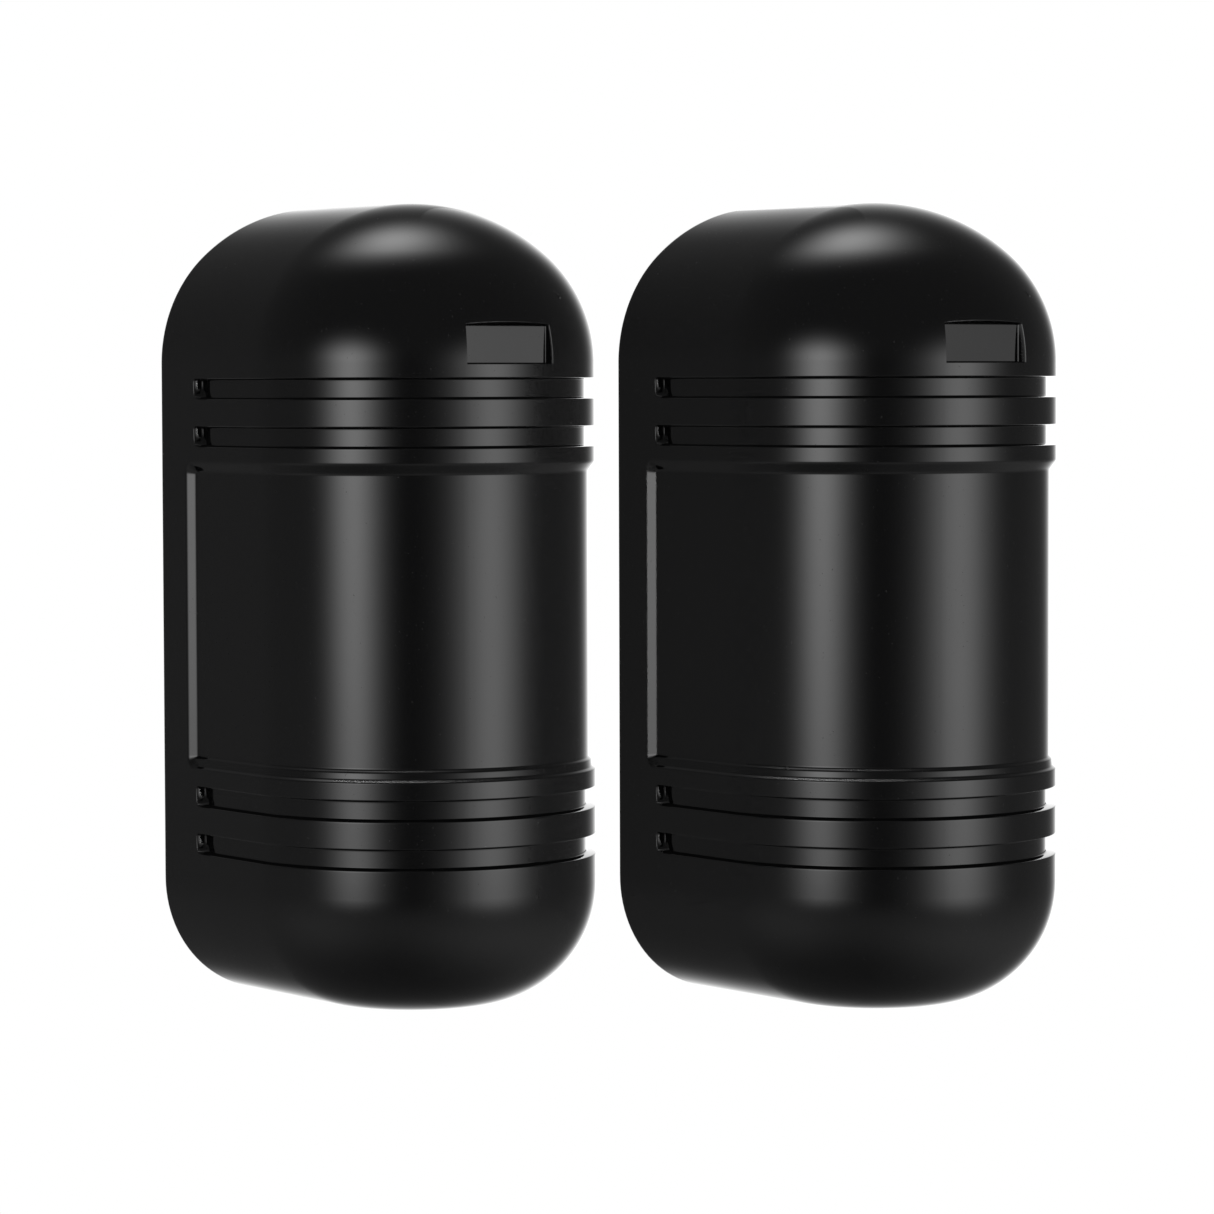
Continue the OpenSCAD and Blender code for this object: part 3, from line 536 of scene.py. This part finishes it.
def sight_mirror():
    s = Shade("sight_mirror", metallic=1.0)
    smear = s.noise(2.5, 4.0)
    s.relief((s.noise(3.0, 2.0), 0.003))
    color = s.blend(s.span(smear, 0.4, 0.8), (0.86, 0.87, 0.88), (0.78, 0.79, 0.8))
    return s.finish(color, s.span(smear, 0.35, 0.8, 0.02, 0.12))


def white_nylon():
    s = Shade("white_nylon", IOR=1.53, Subsurface_Weight=0.18, Subsurface_Scale=0.0012)
    flow = s.noise(3.0, 4.0)
    s.relief((flow, 0.012), (s.noise(0.3, 3.0), 0.006))
    return s.finish(s.blend(flow, (0.70, 0.69, 0.65), (0.82, 0.81, 0.78)), s.span(flow, 0.3, 0.7, 0.3, 0.42))


def board_green():
    s = Shade("board_green", IOR=1.5)
    split = s.node("ShaderNodeSeparateXYZ", {0: s.place})
    flat = s.node("ShaderNodeCombineXYZ", {0: split.outputs[0], 1: split.outputs[2]}).outputs[0]

    def lanes(line, soft, width, height, **props):
        ins = {"Vector": flat, "Scale": 1.0, "Mortar Size": line, "Mortar Smooth": soft,
               "Brick Width": width, "Row Height": height}
        return s.node("ShaderNodeTexBrick", ins, **props).outputs["Fac"]

    tracks = lanes(0.00026, 0.2, 0.0093, 0.0021, offset=0.37, squash=1.6)
    wide = lanes(0.0005, 0.1, 0.017, 0.0127, offset=0.21)
    via = s.cells(3.1, place=flat, feature="F1")
    ring = s.math("MULTIPLY", s.span(via, 0.13, 0.10), s.span(via, 0.045, 0.065))
    copper = s.math("MAXIMUM", tracks, wide)
    weave = s.noise(0.5, 2.0, s.stretched(1.0, 1.0, 0.2))
    mask = s.blend(weave, (0.010, 0.085, 0.030), (0.016, 0.115, 0.042))
    color = s.blend(copper, mask, (0.035, 0.21, 0.075))
    color = s.blend(ring, color, (0.62, 0.58, 0.50))
    s.relief((copper, 0.03), (ring, 0.02), (weave, 0.002))
    return s.finish(color, s.span(ring, 0.0, 1.0, 0.24, 0.34))


def diode(name, dark, light, through):
    s = Shade(name, IOR=1.54, Transmission_Weight=through)
    body = s.noise(1.8, 3.0)
    s.relief((s.noise(1.2, 2.0), 0.003))
    return s.finish(s.blend(body, dark, light), s.span(body, 0.3, 0.7, 0.05, 0.12))


MATS = {
    "cover_gloss": cover_gloss(), "seal_rubber": seal_rubber(), "zinc_steel": zinc_steel(),
    "base_plastic": moulded("base_plastic", (0.017, 0.017, 0.018), (0.027, 0.027, 0.027), 0.42),
    "yoke_plastic": moulded("yoke_plastic", (0.035, 0.036, 0.038), (0.052, 0.052, 0.053), 0.40),
    "housing_plastic": moulded("housing_plastic", (0.011, 0.011, 0.012), (0.019, 0.019, 0.019), 0.36,
                               grain=0.3),
    "lens_clear": lens_clear(), "sight_mirror": sight_mirror(), "white_nylon": white_nylon(),
    "board_green": board_green(),
    "diode_clear": diode("diode_clear", (0.80, 0.82, 0.88), (0.88, 0.88, 0.92), 0.7),
    "diode_red": diode("diode_red", (0.50, 0.012, 0.008), (0.66, 0.03, 0.015), 0.35),
    "switch_blue": moulded("switch_blue", (0.02, 0.075, 0.32), (0.03, 0.10, 0.40), 0.38, depth=0.006),
    "terminal_grey": moulded("terminal_grey", (0.20, 0.205, 0.21), (0.26, 0.265, 0.27), 0.46, depth=0.01),
    "chip_black": moulded("chip_black", (0.018, 0.018, 0.018), (0.03, 0.029, 0.028), 0.5,
                          grain=0.2, depth=0.01),
}

# ---- pieces ------------------------------------------------------------------
SLOT = {p["node"]: p["material_slot"] for p in frame["record"]["subparts"]}
BODY = {n: b for b, nodes in frame["record"]["behaviour"]["bodies"].items() for n in nodes}


def dress(ob, node):
    """Puts a piece on its node's body with its slot's material."""
    slot = SLOT[node]
    ob.data.materials.clear()
    ob.data.materials.append(MATS[slot])
    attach(ob, BODY[node])


# between two faces: less is one flat face, more is a corner to break, more is a crease in the shading
FLAT, CORNER, CREASE = math.radians(0.4), math.radians(32), math.radians(46)


def refined(node, bevel):
    """The node's shape with its corners broken by a small radius, as a moulded or stamped piece has them."""
    src = NODES[node]
    ob = bpy.data.objects.new(node + "_refined", src.data.copy())
    bpy.context.scene.collection.objects.link(ob)
    bm = bmesh.new()
    bm.from_mesh(ob.data)
    for v in bm.verts:
        v.co = src.matrix_world @ v.co
    bmesh.ops.remove_doubles(bm, verts=bm.verts, dist=1e-6)
    bmesh.ops.dissolve_limit(bm, angle_limit=FLAT, verts=bm.verts, edges=bm.edges, delimit=set())
    bmesh.ops.recalc_face_normals(bm, faces=bm.faces)
    if bevel:
        edges = [e for e in bm.edges if len(e.link_faces) == 2 and e.calc_face_angle(0) > CORNER]
        bmesh.ops.bevel(bm, geom=edges, offset=bevel * MM, offset_type="OFFSET", segments=2, profile=0.5,
                        affect="EDGES", clamp_overlap=True, harden_normals=False)
    for f in bm.faces:
        f.smooth = True
    for e in bm.edges:
        e.smooth = not (len(e.link_faces) == 2 and e.calc_face_angle(0) > CREASE)
    bm.to_mesh(ob.data)
    bm.free()
    if ob.data.has_custom_normals:
        ob.data.normals_split_custom_set([(0, 0, 0)] * len(ob.data.loops))
    w = ob.modifiers.new("weighted", "WEIGHTED_NORMAL")
    w.keep_sharp = True
    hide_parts(node)
    dress(ob, node)


# corner sizes in mm of the nodes that don't have 0.1
BEVELS = {"base": 0.35, "wall_plate": 0.2, "yoke": 0.3, "lens_housing": 0.3, "main_board": 0.12,
          "beam_board": 0.12, "terminal_block": 0.25, "cover_screw": 0.12, "lens_rings": 0.2,
          "upper_lens": 0.15, "lower_lens": 0.15, "board_chips": 0.2, "tilt_wheel": 0.15,
          "cable_grommet": 0.3, "cover_seal": 0.3, "channel_switch": 0.15,
          "channel_slider": 0.12, "tamper_switch": 0.2, "tamper_plunger": 0.15, "sight_block": 0.2,
          "sight_mirrors": 0.05, "response_pot": 0.2, "response_rotor": 0.12}
for node in NODES:
    unit, kind = node.split("_", 1)
    if kind != "cover":
        refined(node, BEVELS.get(kind, 0.1))
for unit in UNITS:
    cover = build_cover(unit)
    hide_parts(unit + "_cover")
    dress(cover, unit + "_cover")

# ---- reflections -------------------------------------------------------------
ECHO_REACH, ECHO_IN = 0.006, 0.05   # in m and in mm


def echo_mat():
    """Black for a reflection ray that has gone less than ECHO_REACH, clear beyond."""
    s = Shade("echo")
    near = s.math("LESS_THAN", s.node("ShaderNodeLightPath").outputs["Ray Length"], ECHO_REACH)
    clear = s.node("ShaderNodeBsdfTransparent", {"Color": (1, 1, 1, 1)})
    dark = s.node("ShaderNodeEmission", {"Color": (0.004, 0.004, 0.004, 1), "Strength": 1.0})
    mixed = s.node("ShaderNodeMixShader", {0: near, 1: clear.outputs[0], 2: dark.outputs[0]})
    s.tree.links.new(mixed.outputs[0], s.tree.nodes["Material Output"].inputs["Surface"])
    return s.mat


def echo(cover, body, mat):
    """A stage helper: each unit stands alone in the studio, so neither shows as a reflection in the
    other, but the walls of a groove still darken one another. The camera doesn't see it."""
    ob = bpy.data.objects.new(cover.name + "_echo", cover.data.copy())
    bpy.context.scene.collection.objects.link(ob)
    bm = bmesh.new()
    bm.from_mesh(ob.data)
    bm.normal_update()
    for v in bm.verts:
        v.co -= v.normal * ECHO_IN * MM
    bm.to_mesh(ob.data)
    bm.free()
    ob.data.materials.clear()
    ob.data.materials.append(mat)
    for ray in ("camera", "diffuse", "transmission", "volume_scatter", "shadow"):
        setattr(ob, "visible_" + ray, False)
    ob.parent = frame["bodies"][body]
    ob.matrix_parent_inverse = frame["bodies"][body].matrix_world.inverted()


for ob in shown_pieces():
    ob.visible_glossy = False
near_black = echo_mat()
for unit in UNITS:
    echo(bpy.data.objects[unit + "_cover_shell"], unit + "_cover_shell", near_black)

# ---- stage -------------------------------------------------------------------
PAIR_CENTRE = Vector((0.04, -0.07, 0))
LIGHT_AZ = math.atan2(*(CAM_POS - PAIR_CENTRE).yx)   # the studio is turned with the camera
floor_z = ZB * MM - 0.0002
floor_corners = [(x, y, floor_z) for x, y in ((-8, -8), (8, -8), (8, 8), (-8, 8))]
floor = new_object("studio_floor", floor_corners, [(0, 1, 2, 3)])
fs = Shade("floor_paper")
fs.finish((0.9, 0.9, 0.9, 1), 0.8)
glow = fs.node("ShaderNodeEmission", {"Color": (1, 1, 1, 1), "Strength": 1.0})
seen = fs.node("ShaderNodeLightPath").outputs["Is Camera Ray"]
both = fs.node("ShaderNodeMixShader", {0: seen, 1: fs.bsdf.outputs[0], 2: glow.outputs[0]})
fs.tree.links.new(both.outputs[0], fs.tree.nodes["Material Output"].inputs["Surface"])
floor.data.materials.append(fs.mat)
floor.visible_glossy = False


def studio_world():
    """A dim room with a soft box left and right of the camera, a soft panel overhead and pale paper low at
    the sides and behind, as mirror reflections see it. Matt surfaces get plain even light, and the camera
    sees plain white paper."""
    world = bpy.data.worlds.new("studio")
    bpy.context.scene.world = world
    world.use_nodes = True
    s = Shade.__new__(Shade)
    s.tree = world.node_tree
    at = s.node("ShaderNodeTexCoord").outputs["Generated"]
    turn = s.node("ShaderNodeVectorRotate", {"Vector": at, "Angle": -LIGHT_AZ},
                  rotation_type="Z_AXIS").outputs[0]
    xyz = s.node("ShaderNodeSeparateXYZ", {0: turn}).outputs
    az = s.math("MULTIPLY", s.math("ARCTAN2", xyz[1], xyz[0]), 180 / math.pi)
    el = s.math("MULTIPLY", s.math("ARCSINE", xyz[2]), 180 / math.pi)

    def hump(value, centre, spread):
        d = s.math("DIVIDE", s.math("SUBTRACT", value, centre), spread)
        return s.math("EXPONENT", s.math("MULTIPLY", s.math("MULTIPLY", d, d), -0.5))

    def spot(az0, az_spread, el0, el_spread, power):
        """A soft patch: centre and spread in degrees from the camera and from the horizon."""
        both = s.math("MULTIPLY", hump(az, az0, az_spread), hump(el, el0, el_spread))
        return s.math("MULTIPLY", both, power)

    top_el, top_az = math.radians(72), math.radians(-158)
    top_dir = (math.cos(top_el) * math.cos(top_az), math.cos(top_el) * math.sin(top_az), math.sin(top_el))
    dot = s.node("ShaderNodeVectorMath", {0: turn, 1: top_dir}, operation="DOT_PRODUCT").outputs["Value"]
    off_top = s.math("MULTIPLY", s.math("ARCCOSINE", s.math("MINIMUM", dot, 1.0)), 180 / math.pi)
    soft_boxes = [spot(-36, 11, 3, 8, 3.9), spot(54.5, 14.5, -1, 9, 2.6)]
    panel = s.math("MULTIPLY", hump(off_top, 0, 10), 3.8)
    paper_low = [spot(65, 45, -38, 20, 0.33), spot(-60, 30, -28, 18, 0.24)]
    paper_behind = [spot(175, 12, 0, 18, 1.6), spot(-178, 10, -5, 18, 1.2)]
    room_less_camera = s.math("MULTIPLY", s.math("SUBTRACT", 1.0, spot(0, 13, -6, 9, 0.8)), 0.10)
    parts = soft_boxes + [panel] + paper_low + paper_behind + [room_less_camera]
    total = parts[0]
    for part in parts[1:]:
        total = s.math("ADD", total, part)
    path = s.node("ShaderNodeLightPath").outputs
    mirrored = s.math("MULTIPLY", total, path["Is Glossy Ray"])
    even = s.math("MULTIPLY", s.math("SUBTRACT", 1.0, path["Is Glossy Ray"]), 0.9)
    total = s.math("ADD", mirrored, even)
    room = s.node("ShaderNodeBackground", {"Color": (1, 1, 1, 1), "Strength": total})
    paper = s.node("ShaderNodeBackground", {"Color": (1, 1, 1, 1), "Strength": 1.0})
    seen = s.node("ShaderNodeLightPath").outputs["Is Camera Ray"]
    both = s.node("ShaderNodeMixShader", {0: seen, 1: room.outputs[0], 2: paper.outputs[0]})
    s.tree.links.new(both.outputs[0], s.tree.nodes["World Output"].inputs["Surface"])


studio_world()
bpy.context.scene.view_settings.view_transform = "Standard"
